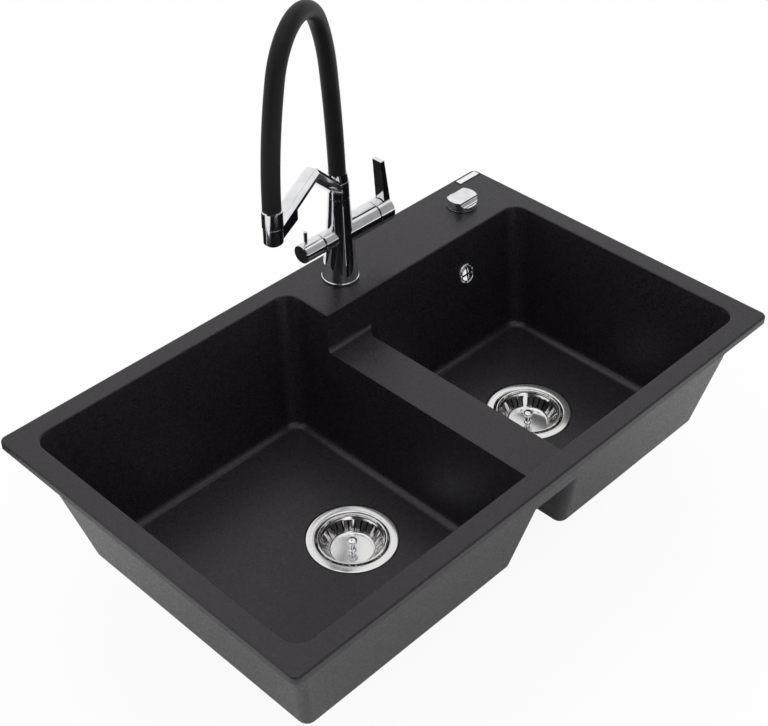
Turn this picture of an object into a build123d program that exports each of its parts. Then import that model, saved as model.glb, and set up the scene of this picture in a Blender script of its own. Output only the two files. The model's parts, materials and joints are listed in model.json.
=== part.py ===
from build123d import *
import os
from dataclasses import dataclass
from math import atan2, cos, degrees, radians, sin, tan

os.makedirs("parts", exist_ok=True)

# Double bowl kitchen sink with a mixer tap. Millimetres, +Z up. The origin is the middle of the
# rim's underside, which lies on the worktop; +X is the user's right and +Y the tap's side.

# --- clearances --------------------------------------------------------------------------------
fit_gap = 0.02
running_gap = 0.05
clear_gap = 0.3

# --- basin -------------------------------------------------------------------------------------
rim_length = 800.0
rim_width = 488.0
rim_thickness = 10.0
rim_corner = 9.0
rim_edge_round = 2.5
seat_width = 12.0
seat_corner = 6.0
seat_relief = 1.0
mouth_round = 2.0
border = 27.0
ledge_depth = 99.0
large_bowl_length = 390.0
divider_width = 57.0
divider_overlap = 5.0
recess_depth = 46.0
recess_round = 7.0
bridge_depth = 78.0
bowl_depth = 165.0
wall = 10.0
floor_thickness = 12.0
bowl_corner = 22.0
outer_corner = 13.0
floor_round = 11.0
base_round = 12.0
draft_left = 13.0
draft_right = 10.3
draft_front = 11.6
draft_large_back = 16.5
draft_small_back = 13.0
draft_divider_large = 12.3
draft_divider_small = 8.6
badge_length = 38.0
badge_width = 9.0
badge_thickness = 0.8
badge_inset = 5.0
badge_corner = 0.8

# --- waste outlets, heights measured down from the bowl's floor ---------------------------------
large_drain_from_divider = 136.0
small_drain_from_right = 167.0
drain_from_front = 184.0
drain_hole_radius = 46.0
seat_depth = 2.0
seat_gap = 1.2
flange_radius = 56.0
flange_rise = 0.6
sheet = 1.2
strainer_gasket_thickness = 1.0
drain_gasket_thickness = 2.0
gasket_inset = 1.0
cup_neck_radius = 44.3
cup_neck_depth = 3.1
cup_wall_radius = 39.8
cup_wall_depth = 9.0
cup_depth = 28.0
cup_seat_radius = 18.0
cup_arms = 4
basket_rim_radius = 42.4
basket_rim_width = 2.4
basket_rim_height = 1.0
basket_throat_depth = 3.0
basket_floor_radius = 27.0
basket_floor_depth = 18.5
basket_slots = 28
basket_slot_width = 2.0
basket_slot_height = 12.0
knob_base_radius = 5.0
knob_post_radius = 3.2
knob_head_radius = 6.3
knob_height = 17.0
seal_inner = 19.5
seal_outer = 24.0
drain_wall = 3.0
drain_bore = 43.0
drain_flange_width = 8.0
drain_flange_thickness = 3.5
drain_depth = 60.0
drain_cone = 8.0
outlet_radius = 23.9
outlet_bore = 20.0
outlet_length = 26.0
hub_height = 10.0
hub_wall = 6.0
drain_ribs = 3
rib_width = 4.0
rib_height = 7.0
screw_radius = 3.0
screw_overhang = 4.0
screw_head_extra = 3.0
screw_head_height = 3.0
hex_key_radius = 2.0
hollow_screw_radius = 5.0

# --- remote lift of the small basket -------------------------------------------------------------
lift_travel = 10.0
lift_pin_radius = 2.5
lift_foot_radius = 4.0
lift_foot_height = 2.0
rod_radius = 2.5
rod_pivot_reach = 50.0
rod_past_axis = 3.0
rod_tail = 32.0
rod_eye_radius = 4.0
rod_eye_thickness = 3.0
rod_eye_hole = 1.2
ball_radius = 6.0
side_tube_radius = 10.0
side_tube_length = 55.0
rod_mouth_radius = 4.6
ball_stop = 4.5
rod_seat_thickness = 1.2
rod_seat_inner = 5.1
rod_nut_radius = 13.0
rod_nut_grip = 6.0
rod_nut_lip = 2.5
bracket_thickness = 3.2
bracket_strap_width = 14.0
bracket_end = 4.0
cable_bush_radius = 5.0
cable_bush_drop = 15.3
cable_bore = 1.6

# --- overflow ----------------------------------------------------------------------------------
overflow_from_right = 111.0
overflow_depth = 55.4
overflow_hole_radius = 11.0
rosette_radius = 14.2
rosette_thickness = 2.4
rosette_plate = 1.4
rosette_bevel = 1.2
rosette_slot = 1.9
rosette_groove_inner = 11.2
rosette_groove_outer = 12.0
rosette_groove_depth = 0.7
barrel_radius = 10.4
barrel_bore = 8.6
barrel_grip = 5.0
overflow_gasket_thickness = 1.5
overflow_flange_radius = 17.5
overflow_flange_thickness = 3.0
elbow_radius = 13.0
elbow_wall = 2.5
elbow_reach = 23.5
elbow_drop = 28.0
spigot_radius = 12.0
pipe_radius = 9.5
pipe_wall = 1.5
pipe_bend = 25.0
pipe_overlap = 12.0
inlet_depth = 34.0
inlet_reach = 66.0
pipe_nut_wall = 3.0
pipe_nut_grip = 10.0
pipe_nut_lip = 4.0

# --- outlet control knob -----------------------------------------------------------------------
popup_from_right = 81.0
popup_from_back = 50.0
tap_hole_radius = 17.5
popup_gasket_thickness = 0.8
popup_radius = 21.0
popup_base_height = 1.4
popup_disc_height = 4.5
popup_grip_height = 7.5
popup_front_flat = 12.5
popup_back_flat = 12.5
popup_edge_round = 0.8
popup_tube_radius = 15.5
popup_tube_drop = 20.0
popup_nut_height = 10.0
nut_flats = 40.0
spindle_radius = 5.0
spindle_grip = 10.0
drum_radius = 14.0
drum_height = 13.0
drum_groove = 2.0
cable_box_radius = 20.0
cable_box_height = 24.0
cable_box_wall = 4.0
cable_box_collar = 7.0
cable_box_collar_wall = 3.5
cable_gland_radius = 4.0
cable_gland_length = 14.0

# --- tap ---------------------------------------------------------------------------------------
tap_from_bowl = 70.0
tap_from_back = 50.5
tap_seal_thickness = 1.0
tap_seal_inner = 18.0
tap_seal_outer = 23.0
tap_ring_radius = 24.2
tap_ring_height = 3.0
body_base_radius = 23.4
body_waist_radius = 17.6
body_waist_height = 62.0
body_top_radius = 14.0
body_height = 117.0
shank_radius = 15.0
shank_grip = 20.0
shank_drop = 50.0
inlet_count = 3
inlet_pitch_radius = 8.0
inlet_socket_radius = 4.2
inlet_socket_depth = 12.0
inlet_bore = 3.0
clamp_seal_thickness = 3.0
clamp_washer_thickness = 2.0
clamp_radius = 24.0
lock_nut_height = 12.0
stem_bore = 9.0
mixer_axis_height = 62.0
mixer_radius = 17.5
mixer_reach = 58.2
seam_gap = 1.0
cap_length = 24.0
cap_edge = 0.8
cartridge_radius = 13.2
cartridge_length = 26.0
cartridge_nut_length = 5.5
cartridge_nut_bore = 8.5
cartridge_feed = 4.0
rotor_radius = 5.0
rotor_grip = 8.2
grub_screw_radius = 2.0
grub_screw_length = 11.8
grub_screw_inset = 4.0
lever_width = 15.0
lever_root_radius = 5.4
lever_pin_radius = 1.5
lever_pin_left = 12.0
lever_pin_right = 15.6
lever_inner_height = 18.5
lever_outer_height = 16.0
lever_tip_height = 77.0
lever_tip_lean = 5.6
lever_tip_thickness = 6.0
lever_slot_gap = 0.4
lever_back_gap = 1.2
lever_edge_round = 0.8
filter_radius = 12.5
filter_reach = 32.6
filter_core_radius = 7.9
filter_core_length = 15.4
filter_feed = 3.0
filter_spindle_radius = 4.0
filter_spindle_grip = 8.3
filter_handle_length = 32.6
filter_handle_grip = 16.4
filter_edge = 1.0
filter_pin_radius = 2.4
filter_pin_inset = 8.7
filter_pin_depth = 6.5
filter_pin_length = 23.4

# --- spout -------------------------------------------------------------------------------------
spout_turn = 25.0
swivel_gap = 0.4
stem_length = 31.0
stem_groove_depth = 1.4
stem_groove_width = 1.6
stem_groove_low = 4.0
stem_groove_high = 21.0
o_ring_squeeze = 0.08
lock_groove_depth = 1.6
lock_groove_width = 4.0
lock_groove_height = 12.0
retaining_screw_radius = 1.5
retaining_screw_length = 6.6
water_bore = 6.0
collar_height = 24.0
collar_top_radius = 13.2
collar_lean = 0.8
ferrule_height = 12.0
ferrule_base_radius = 13.0
ferrule_top_radius = 12.0
ferrule_lean = 2.9
ferrule_floor = 1.6
hose_radius = 10.75
hose_bore = 6.5
hose_start_reach = 2.4
hose_lean = 4.2
hose_rise_radius = 1300.0
hose_rise_turn = 7.2
hose_shoulder_radius = 222.0
hose_shoulder_turn = 19.5
hose_crown_radius = 68.8
hose_crown_turn = 128.4
hose_fall_radius = 393.0
hose_tail = 11.5
arm_root_height = 8.0
arm_fold_reach = 86.0
arm_fold_height = 81.5
arm_end_depth = 5.9
arm_width = 20.0
arm_thickness = 15.0
arm_chamfer = 4.6
gusset_start = 52.0
gusset_depth = 13.0
gusset_width = 17.0
gusset_slope = 4.5
holder_radius = 11.4
holder_height = 21.0
sleeve_radius = 12.2
sleeve_height = 21.4
sleeve_overlap = 7.5
nozzle_radius = 9.5
nozzle_web = 2.0
nozzle_drop = 2.0
aerator_radius = 7.75
aerator_height = 4.5
aerator_holes = 12
aerator_hole_radius = 0.8
aerator_hole_circle = 5.0

# --- places worked out from the sizes ----------------------------------------------------------
rim_top = rim_thickness
ledge_bottom = seat_relief
floor_level = rim_top - bowl_depth
base_level = floor_level - floor_thickness
large_left = -rim_length / 2 + border
large_right = large_left + large_bowl_length
small_right = rim_length / 2 - border
opening_front = -rim_width / 2 + border
large_back = rim_width / 2 - border
small_back = rim_width / 2 - ledge_depth
divider_left = large_right - divider_overlap
small_left = divider_left + divider_width - recess_depth * tan(radians(draft_divider_small))
large_drain_x = large_right - large_drain_from_divider
small_drain_x = small_right - small_drain_from_right
drain_y = opening_front + drain_from_front
overflow_x = small_right - overflow_from_right
popup_x = rim_length / 2 - popup_from_right
popup_y = rim_width / 2 - popup_from_back
tap_x = large_right + tap_from_bowl
tap_y = rim_width / 2 - tap_from_back
up = Vector(0, 0, 1)
down = Vector(0, 0, -1)
right = Vector(1, 0, 0)
left = Vector(-1, 0, 0)


@dataclass
class Bowl:
    """A bowl's opening at the rim's top, and how far each wall leans in as it goes down."""

    left: float
    right: float
    front: float
    back: float
    lean_left: float
    lean_right: float
    lean_front: float
    lean_back: float

    def edge(self, side, height):
        """Where a wall is at a height."""
        inward = (rim_top - height) * tan(radians(getattr(self, "lean_" + side)))
        position = getattr(self, side)
        return position + inward if side in ("left", "front") else position - inward


large_bowl = Bowl(large_left, large_right, opening_front, large_back,
                  draft_left, draft_divider_large, draft_front, draft_large_back)
small_bowl = Bowl(small_left, small_right, opening_front, small_back,
                  draft_divider_small, draft_right, draft_front, draft_small_back)
middle = Bowl(large_right - bowl_corner - 2 * wall, small_left + bowl_corner + 2 * wall,
              opening_front, small_back, 0.0, 0.0, draft_front, draft_small_back)


def bowl_section(bowl, height, grow, corner):
    """Rounded rectangle of a bowl at a height, grown outwards by a wall."""
    west = bowl.edge("left", height) - grow
    east = bowl.edge("right", height) + grow
    front = bowl.edge("front", height) - grow
    back = bowl.edge("back", height) + grow
    with BuildSketch(Plane.XY.offset(height)) as section:
        with Locations(((west + east) / 2, (front + back) / 2)):
            if corner > 0:
                RectangleRounded(east - west, back - front, corner)
            else:
                Rectangle(east - west, back - front)
    return section.sketch


def bowl_block(bowl, top, bottom, grow, corner, edge_round):
    """Solid between two heights of a bowl, its bottom edge rounded."""
    with BuildPart() as block:
        loft([bowl_section(bowl, top, grow, corner), bowl_section(bowl, bottom, grow, corner)],
             ruled=True)
        if edge_round > 0:
            fillet(block.faces().sort_by(Axis.Z)[0].edges(), edge_round)
    return block.part


def spun(points, origin, direction=up):
    """Solid of a profile of (radius, distance along the axis) points turned about an axis."""
    across = direction.cross(up)
    across = across.normalized() if across.length > 0.001 else right
    with BuildPart() as piece:
        with BuildSketch(Plane(origin=origin, x_dir=across, z_dir=across.cross(direction))):
            with BuildLine():
                Polyline(*points, close=True)
            make_face()
        revolve(axis=Axis(origin, direction))
    return piece.part


def tube(inner, outer, start, end, origin, direction=up):
    """Tube, or a bar where the inner radius is 0, between two distances along an axis."""
    return spun([(inner, start), (outer, start), (outer, end), (inner, end)], origin, direction)


def hex_nut(flats, bore, low, high, origin):
    """Hexagon nut round a vertical thread."""
    with BuildPart() as nut:
        with BuildSketch(Plane(origin=(origin.X, origin.Y, low))):
            RegularPolygon(flats / 2, 6, major_radius=False)
            Circle(bore, mode=Mode.SUBTRACT)
        extrude(amount=high - low)
    return nut.part


def pipe_nut(origin, direction, spigot_end):
    """Union nut over a spigot's end, its lip close round the pipe."""
    nut_outer = spigot_radius + running_gap + pipe_nut_wall
    return spun([(spigot_radius + running_gap, spigot_end - pipe_nut_grip),
                 (nut_outer, spigot_end - pipe_nut_grip),
                 (nut_outer, spigot_end + pipe_nut_lip),
                 (pipe_radius + running_gap, spigot_end + pipe_nut_lip),
                 (pipe_radius + running_gap, spigot_end),
                 (spigot_radius + running_gap, spigot_end)], origin, direction)


pieces = {}


def keep(name, solids):
    """Put a finished piece with the others."""
    pieces[name] = solids


# --- basin -------------------------------------------------------------------------------------
seat_radius = flange_radius + seat_gap
with BuildPart() as sink_basin:
    with BuildSketch():
        RectangleRounded(rim_length, rim_width, rim_corner)
    extrude(amount=rim_thickness)
    fillet(sink_basin.faces().sort_by(Axis.Z)[-1].edges(), rim_edge_round)
    with BuildSketch():
        RectangleRounded(rim_length - 2 * seat_width, rim_width - 2 * seat_width, seat_corner)
    extrude(amount=seat_relief, mode=Mode.SUBTRACT)
    for bowl in (large_bowl, small_bowl):
        add(bowl_block(bowl, ledge_bottom, base_level, wall, outer_corner, base_round))
    add(bowl_block(middle, ledge_bottom, rim_top - bridge_depth, wall, 0, 0))
    for bowl in (large_bowl, small_bowl):
        add(bowl_block(bowl, rim_top, floor_level, 0, bowl_corner, floor_round), mode=Mode.SUBTRACT)
    add(bowl_block(middle, rim_top, rim_top - recess_depth, 0, 0, recess_round), mode=Mode.SUBTRACT)
    fillet(sink_basin.faces().sort_by(Axis.Z)[-1].inner_wires()[0].edges(), mouth_round)
    for drain_x in (large_drain_x, small_drain_x):
        with Locations((drain_x, drain_y, floor_level)):
            CounterBoreHole(drain_hole_radius, seat_radius, seat_depth, floor_thickness * 2)
    with Locations((tap_x, tap_y, rim_top), (popup_x, popup_y, rim_top)):
        Hole(tap_hole_radius, rim_thickness * 2)

overflow_z = rim_top - overflow_depth
overflow_y = small_bowl.edge("back", overflow_z)
wall_lean = radians(draft_small_back)
wall_normal = wall * cos(wall_lean)
overflow_centre = Vector(overflow_x, overflow_y, overflow_z)
behind = Vector(0, cos(wall_lean), -sin(wall_lean))
with BuildPart(mode=Mode.PRIVATE) as overflow_hole:
    add(tube(0, overflow_hole_radius, -wall, 2 * wall, overflow_centre, behind))
sink_basin.part = sink_basin.part - overflow_hole.part
keep("sink_basin", sink_basin.part)

badge_x = rim_length / 2 - badge_inset - badge_length / 2
badge_y = rim_width / 2 - badge_inset - badge_width / 2
with BuildPart() as badge_plate:
    with Locations((badge_x, badge_y, rim_top + badge_thickness / 2)):
        Box(badge_length, badge_width, badge_thickness)
    fillet(badge_plate.edges().filter_by(Axis.Z), badge_corner)
keep("badge_plate", badge_plate.part)

# --- overflow ----------------------------------------------------------------------------------
elbow_flange_start = wall_normal + overflow_gasket_thickness
elbow_flange_end = elbow_flange_start + overflow_flange_thickness
elbow_end = elbow_reach + elbow_radius
barrel_end = elbow_flange_end + barrel_grip
rosette_face = Plane(origin=overflow_centre, x_dir=right, z_dir=-behind)
with BuildPart() as overflow_rosette:
    add(spun([(0, -rosette_thickness),
              (rosette_groove_inner, -rosette_thickness),
              (rosette_groove_inner, rosette_groove_depth - rosette_thickness),
              (rosette_groove_outer, rosette_groove_depth - rosette_thickness),
              (rosette_groove_outer, -rosette_thickness),
              (rosette_radius - rosette_bevel, -rosette_thickness),
              (rosette_radius, rosette_bevel - rosette_thickness),
              (rosette_radius, 0),
              (barrel_radius, 0),
              (barrel_radius, barrel_end),
              (barrel_bore, barrel_end),
              (barrel_bore, rosette_plate - rosette_thickness),
              (0, rosette_plate - rosette_thickness)], overflow_centre, behind))
    with BuildSketch(rosette_face.offset(rosette_thickness - rosette_plate)):
        with PolarLocations(0, 2, angular_range=180):
            Rectangle(2 * rosette_groove_inner, rosette_slot)
    extrude(amount=rosette_plate, mode=Mode.SUBTRACT)
keep("overflow_rosette", overflow_rosette.part)

overflow_gasket = tube(overflow_hole_radius + clear_gap, overflow_flange_radius - gasket_inset,
                       wall_normal, elbow_flange_start, overflow_centre, behind)
keep("overflow_gasket", overflow_gasket)

elbow_centre = overflow_centre + behind * elbow_reach
with BuildPart() as overflow_elbow:
    add(tube(0, overflow_flange_radius, elbow_flange_start, elbow_flange_end, overflow_centre, behind))
    add(tube(0, elbow_radius, elbow_flange_start, elbow_end, overflow_centre, behind))
    add(tube(0, spigot_radius, 0, elbow_drop, elbow_centre, down))
    add(tube(0, barrel_radius + running_gap, elbow_flange_start - clear_gap, elbow_end - elbow_wall,
             overflow_centre, behind), mode=Mode.SUBTRACT)
    add(tube(0, pipe_radius - pipe_wall, 0, elbow_drop, elbow_centre, down), mode=Mode.SUBTRACT)
    add(tube(0, pipe_radius + running_gap, elbow_drop - pipe_overlap, elbow_drop + clear_gap,
             elbow_centre, down), mode=Mode.SUBTRACT)
keep("overflow_elbow", overflow_elbow.part)

small_drain = Vector(small_drain_x, drain_y, floor_level)
large_drain = Vector(large_drain_x, drain_y, floor_level)
pipe_run = Vector(small_drain.X - elbow_centre.X, small_drain.Y - elbow_centre.Y, 0)
toward_drain = pipe_run.normalized()
inlet_centre = small_drain + down * inlet_depth
pipe_plane = Plane(origin=(elbow_centre.X, elbow_centre.Y, 0), x_dir=toward_drain,
                   z_dir=toward_drain.cross(up))
with BuildPart() as overflow_pipe:
    with BuildLine(pipe_plane) as pipe_path:
        FilletPolyline((0, elbow_centre.Z - elbow_drop + pipe_overlap), (0, inlet_centre.Z),
                       (pipe_run.length - inlet_reach + pipe_overlap, inlet_centre.Z),
                       radius=pipe_bend)
    with BuildSketch(Plane(origin=pipe_path.line @ 0, z_dir=pipe_path.line % 0)):
        Circle(pipe_radius)
        Circle(pipe_radius - pipe_wall, mode=Mode.SUBTRACT)
    sweep(path=pipe_path.line)
keep("overflow_pipe", overflow_pipe.part)

with BuildPart() as overflow_pipe_nuts:
    add(pipe_nut(elbow_centre, down, elbow_drop))
    add(pipe_nut(inlet_centre, -toward_drain, inlet_reach))
keep("overflow_pipe_nuts", overflow_pipe_nuts.part)

# --- waste outlets -----------------------------------------------------------------------------
drain_top = -floor_thickness - drain_gasket_thickness
drain_flange_bottom = drain_top - drain_flange_thickness
drain_outer = drain_bore + drain_wall
cone_bottom = -drain_depth - drain_cone
outlet_bottom = cone_bottom - outlet_length
hub_bottom = -cup_depth - hub_height
cup_floor = sheet - cup_depth
screw_head_top = cup_floor + screw_head_height
basket_bottom = -basket_floor_depth - sheet
neck_outer = cup_neck_radius + sheet
flange_bottom = strainer_gasket_thickness - seat_depth
rod_angle = atan2(lift_travel / 2, rod_pivot_reach)
foot_top = hub_bottom - clear_gap - lift_travel
foot_bottom = foot_top - lift_foot_height
foot_gap = clear_gap + lift_foot_radius * tan(rod_angle)
rod_depth = -foot_bottom + foot_gap + rod_radius / cos(rod_angle) - lift_travel / 2
rod_axis = small_drain + down * rod_depth

with BuildPart() as strainer_gaskets:
    for place in (large_drain, small_drain):
        add(tube(neck_outer + clear_gap, flange_radius - gasket_inset, -seat_depth, flange_bottom,
                 place))
keep("strainer_gaskets", strainer_gaskets.part)

with BuildPart() as drain_gaskets:
    for place in (large_drain, small_drain):
        add(tube(drain_outer + gasket_inset, drain_outer + drain_flange_width, drain_top,
                 -floor_thickness, place))
keep("drain_gaskets", drain_gaskets.part)

for side, place, bolt_radius in (("large", large_drain, screw_radius),
                                 ("small", small_drain, hollow_screw_radius)):
    hub_radius = bolt_radius + hub_wall
    head_radius = bolt_radius + screw_head_extra
    with BuildPart() as strainer_cup:
        add(spun([(cup_seat_radius, -cup_depth),
                  (cup_wall_radius + sheet, -cup_depth),
                  (cup_wall_radius + sheet, -cup_wall_depth),
                  (neck_outer, -cup_neck_depth - sheet / 2),
                  (neck_outer, flange_bottom),
                  (flange_radius, flange_bottom),
                  (flange_radius, flange_rise - sheet / 2),
                  (flange_radius - sheet / 2, flange_rise),
                  (cup_neck_radius, flange_rise),
                  (cup_neck_radius, -cup_neck_depth),
                  (cup_wall_radius, -cup_wall_depth + sheet / 2),
                  (cup_wall_radius, cup_floor),
                  (cup_seat_radius, cup_floor)], place))
        add(tube(0, hub_radius, -cup_depth, cup_floor, place))
        with Locations(place + up * (cup_floor - sheet / 2)):
            with PolarLocations((hub_radius + cup_seat_radius) / 2, cup_arms):
                Box(cup_seat_radius - hub_radius + 2 * sheet, rib_width, sheet)
        add(tube(0, bolt_radius + running_gap, -cup_depth - sheet, cup_floor + sheet, place),
            mode=Mode.SUBTRACT)
    keep(side + "_strainer_cup", strainer_cup.part)

    with BuildPart() as drain_body:
        add(spun([(drain_bore, drain_top),
                  (drain_outer + drain_flange_width, drain_top),
                  (drain_outer + drain_flange_width, drain_flange_bottom),
                  (drain_outer, drain_flange_bottom),
                  (drain_outer, -drain_depth),
                  (outlet_radius, cone_bottom),
                  (outlet_radius, outlet_bottom),
                  (outlet_bore, outlet_bottom),
                  (outlet_bore, cone_bottom + drain_wall),
                  (drain_bore, -drain_depth + drain_wall)], place))
        add(tube(0, hub_radius, hub_bottom, -cup_depth, place))
        with Locations(place + up * (-cup_depth - drain_wall - rib_height / 2)):
            with PolarLocations((hub_radius + drain_bore) / 2, drain_ribs, start_angle=30):
                Box(drain_bore - hub_radius + drain_wall, rib_width, rib_height)
        if side == "small":
            add(tube(0, side_tube_radius, drain_bore + clear_gap, side_tube_length, rod_axis, right))
            add(tube(0, spigot_radius, drain_bore + clear_gap, inlet_reach, inlet_centre,
                     -toward_drain))
            add(tube(0, pipe_radius - pipe_wall, drain_bore - 2 * drain_wall, inlet_reach,
                     inlet_centre, -toward_drain), mode=Mode.SUBTRACT)
            add(tube(0, pipe_radius + running_gap, inlet_reach - pipe_overlap,
                     inlet_reach + clear_gap, inlet_centre, -toward_drain), mode=Mode.SUBTRACT)
            add(tube(0, rod_mouth_radius, drain_bore - 2 * drain_wall, side_tube_length,
                     rod_axis, right), mode=Mode.SUBTRACT)
            add(tube(0, ball_radius + clear_gap, rod_pivot_reach - ball_stop,
                     side_tube_length + clear_gap, rod_axis, right), mode=Mode.SUBTRACT)
        add(tube(0, bolt_radius + running_gap, hub_bottom - sheet, cup_floor, place),
            mode=Mode.SUBTRACT)
    keep(side + "_drain_body", drain_body.part)

    screw_outline = [(head_radius, screw_head_top), (head_radius, cup_floor), (bolt_radius, cup_floor)]
    if side == "large":
        screw_tip = hub_bottom - screw_overhang
        screw_outline += [(bolt_radius, screw_tip), (0, screw_tip), (0, cup_floor),
                          (hex_key_radius, cup_floor), (hex_key_radius, screw_head_top)]
    else:
        pin_hole = lift_pin_radius + running_gap
        screw_outline += [(bolt_radius, hub_bottom), (pin_hole, hub_bottom), (pin_hole, screw_head_top)]
    keep(side + "_drain_screw", spun(screw_outline, place))

    with BuildPart() as basket:
        slot_middle = -(basket_throat_depth + basket_floor_depth) / 2
        slot_reach = (basket_rim_radius + basket_floor_radius) / 2
        throat_radius = basket_rim_radius - basket_rim_width - 2 * sheet
        add(spun([(0, -basket_floor_depth),
                  (basket_floor_radius, -basket_floor_depth),
                  (throat_radius + sheet / 2, -basket_throat_depth),
                  (throat_radius + 2 * sheet, basket_rim_height / 2),
                  (basket_rim_radius - basket_rim_width, basket_rim_height),
                  (basket_rim_radius - sheet / 2, basket_rim_height),
                  (basket_rim_radius, basket_rim_height / 2),
                  (basket_rim_radius, -sheet),
                  (throat_radius + 3 * sheet, -sheet),
                  (throat_radius + 3 * sheet / 2, -basket_throat_depth - sheet / 4),
                  (basket_floor_radius + sheet / 2, basket_bottom),
                  (0, basket_bottom)], place))
        with Locations(place + up * slot_middle):
            with PolarLocations(slot_reach, basket_slots):
                Box(basket_rim_radius - basket_floor_radius, basket_slot_width, basket_slot_height,
                    mode=Mode.SUBTRACT)
    keep(side + "_basket", basket.part)

    knob_top = knob_height - basket_floor_depth
    basket_knob = spun([(0, -basket_floor_depth),
                        (knob_base_radius, -basket_floor_depth),
                        (knob_base_radius, -basket_floor_depth + sheet),
                        (knob_post_radius, -basket_floor_depth + 2 * sheet),
                        (knob_post_radius, knob_top - 4 * sheet),
                        (knob_head_radius, knob_top - 3 * sheet),
                        (knob_head_radius, knob_top - sheet),
                        (knob_base_radius, knob_top),
                        (0, knob_top)], place)
    keep(side + "_basket_knob", basket_knob)
    basket_seal = tube(seal_inner, seal_outer, cup_floor + clear_gap, basket_bottom, place)
    keep(side + "_basket_seal", basket_seal)

# --- remote lift of the small basket -------------------------------------------------------------
lift_pin_top = basket_bottom - clear_gap
small_lift_pin = spun([(0, foot_bottom), (lift_foot_radius, foot_bottom), (lift_foot_radius, foot_top),
                       (lift_pin_radius, foot_top), (lift_pin_radius, lift_pin_top),
                       (0, lift_pin_top)], small_drain)
keep("small_lift_pin", small_lift_pin)

rod_pivot = rod_axis + right * rod_pivot_reach
rod_out = right * cos(rod_angle) + up * sin(rod_angle)
rod_eye = rod_pivot + rod_out * rod_tail
backward = Vector(0, 1, 0)
with BuildPart() as small_lift_rod:
    with BuildSketch(Plane(origin=rod_pivot, x_dir=rod_out, z_dir=-backward)):
        Circle(ball_radius)
        with Locations(((rod_tail - rod_pivot_reach - rod_past_axis) / 2, 0)):
            Rectangle(rod_tail + rod_pivot_reach + rod_past_axis, 2 * rod_radius)
        with Locations((0, -ball_radius)):
            Rectangle(4 * rod_pivot_reach, 2 * ball_radius, mode=Mode.SUBTRACT)
    revolve(axis=Axis(rod_pivot, rod_out))
    add(tube(0, rod_eye_radius, -rod_eye_thickness / 2, rod_eye_thickness / 2, rod_eye, backward))
    add(tube(0, rod_eye_hole, -rod_eye_radius, rod_eye_radius, rod_eye, backward), mode=Mode.SUBTRACT)
keep("small_lift_rod", small_lift_rod.part)

small_rod_seat = tube(rod_seat_inner, ball_radius + clear_gap - running_gap,
                      side_tube_length - rod_seat_thickness, side_tube_length, rod_axis, right)
keep("small_rod_seat", small_rod_seat)
small_rod_nut = spun([(side_tube_radius + running_gap, side_tube_length - rod_nut_grip),
                      (rod_nut_radius, side_tube_length - rod_nut_grip),
                      (rod_nut_radius, side_tube_length + rod_nut_lip),
                      (rod_mouth_radius, side_tube_length + rod_nut_lip),
                      (rod_mouth_radius, side_tube_length),
                      (side_tube_radius + running_gap, side_tube_length)], rod_axis, right)
keep("small_rod_nut", small_rod_nut)

bracket_bottom = drain_flange_bottom - bracket_thickness
bush_reach = rod_pivot_reach + rod_tail
strap_start = drain_outer + gasket_inset
strap_end = bush_reach + bracket_end
bush = small_drain + right * bush_reach
with BuildPart() as small_cable_bracket:
    add(tube(drain_outer + running_gap, drain_outer + drain_flange_width - gasket_inset,
             bracket_bottom, drain_flange_bottom, small_drain))
    with Locations(small_drain + Vector((strap_start + strap_end) / 2, 0,
                                        (bracket_bottom + drain_flange_bottom) / 2)):
        Box(strap_end - strap_start, bracket_strap_width, bracket_thickness)
    add(tube(0, cable_bush_radius, bracket_bottom - cable_bush_drop, bracket_bottom, bush))
    add(tube(0, cable_bore, bracket_bottom - 2 * cable_bush_drop, drain_top, bush),
        mode=Mode.SUBTRACT)
keep("small_cable_bracket", small_cable_bracket.part)

# --- outlet control knob -----------------------------------------------------------------------
popup_place = Vector(popup_x, popup_y, 0)
popup_gasket_top = rim_top + popup_gasket_thickness
popup_base_top = popup_gasket_top + popup_base_height
popup_knob_bottom = popup_base_top + clear_gap
popup_knob_shelf = popup_knob_bottom + popup_disc_height
box_top = -popup_tube_drop
box_bottom = box_top - cable_box_height
cavity_radius = cable_box_radius - cable_box_wall
cable_level = (box_top + box_bottom) / 2
keep("popup_gasket", tube(tap_hole_radius + clear_gap, popup_radius - clear_gap, rim_top,
                          popup_gasket_top, popup_place))
popup_base = spun([(spindle_radius + running_gap, box_top), (popup_tube_radius, box_top),
                   (popup_tube_radius, popup_gasket_top), (popup_radius, popup_gasket_top),
                   (popup_radius, popup_base_top), (spindle_radius + running_gap, popup_base_top)],
                  popup_place)
keep("popup_base", popup_base)

with BuildPart() as popup_knob:
    with BuildSketch(Plane(origin=popup_place + up * popup_knob_bottom)):
        Circle(popup_radius)
    extrude(amount=popup_disc_height)
    with BuildSketch(Plane(origin=popup_place + up * popup_knob_shelf)):
        Circle(popup_radius)
        with Locations((0, (popup_back_flat - popup_front_flat) / 2)):
            Rectangle(2 * popup_radius, popup_front_flat + popup_back_flat, mode=Mode.INTERSECT)
    extrude(amount=popup_grip_height)
    fillet(popup_knob.faces().sort_by(Axis.Z)[-1].edges(), popup_edge_round)
    add(tube(0, spindle_radius + fit_gap, popup_knob_bottom - clear_gap,
             popup_knob_bottom + spindle_grip + clear_gap, popup_place), mode=Mode.SUBTRACT)
keep("popup_knob", popup_knob.part)

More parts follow.
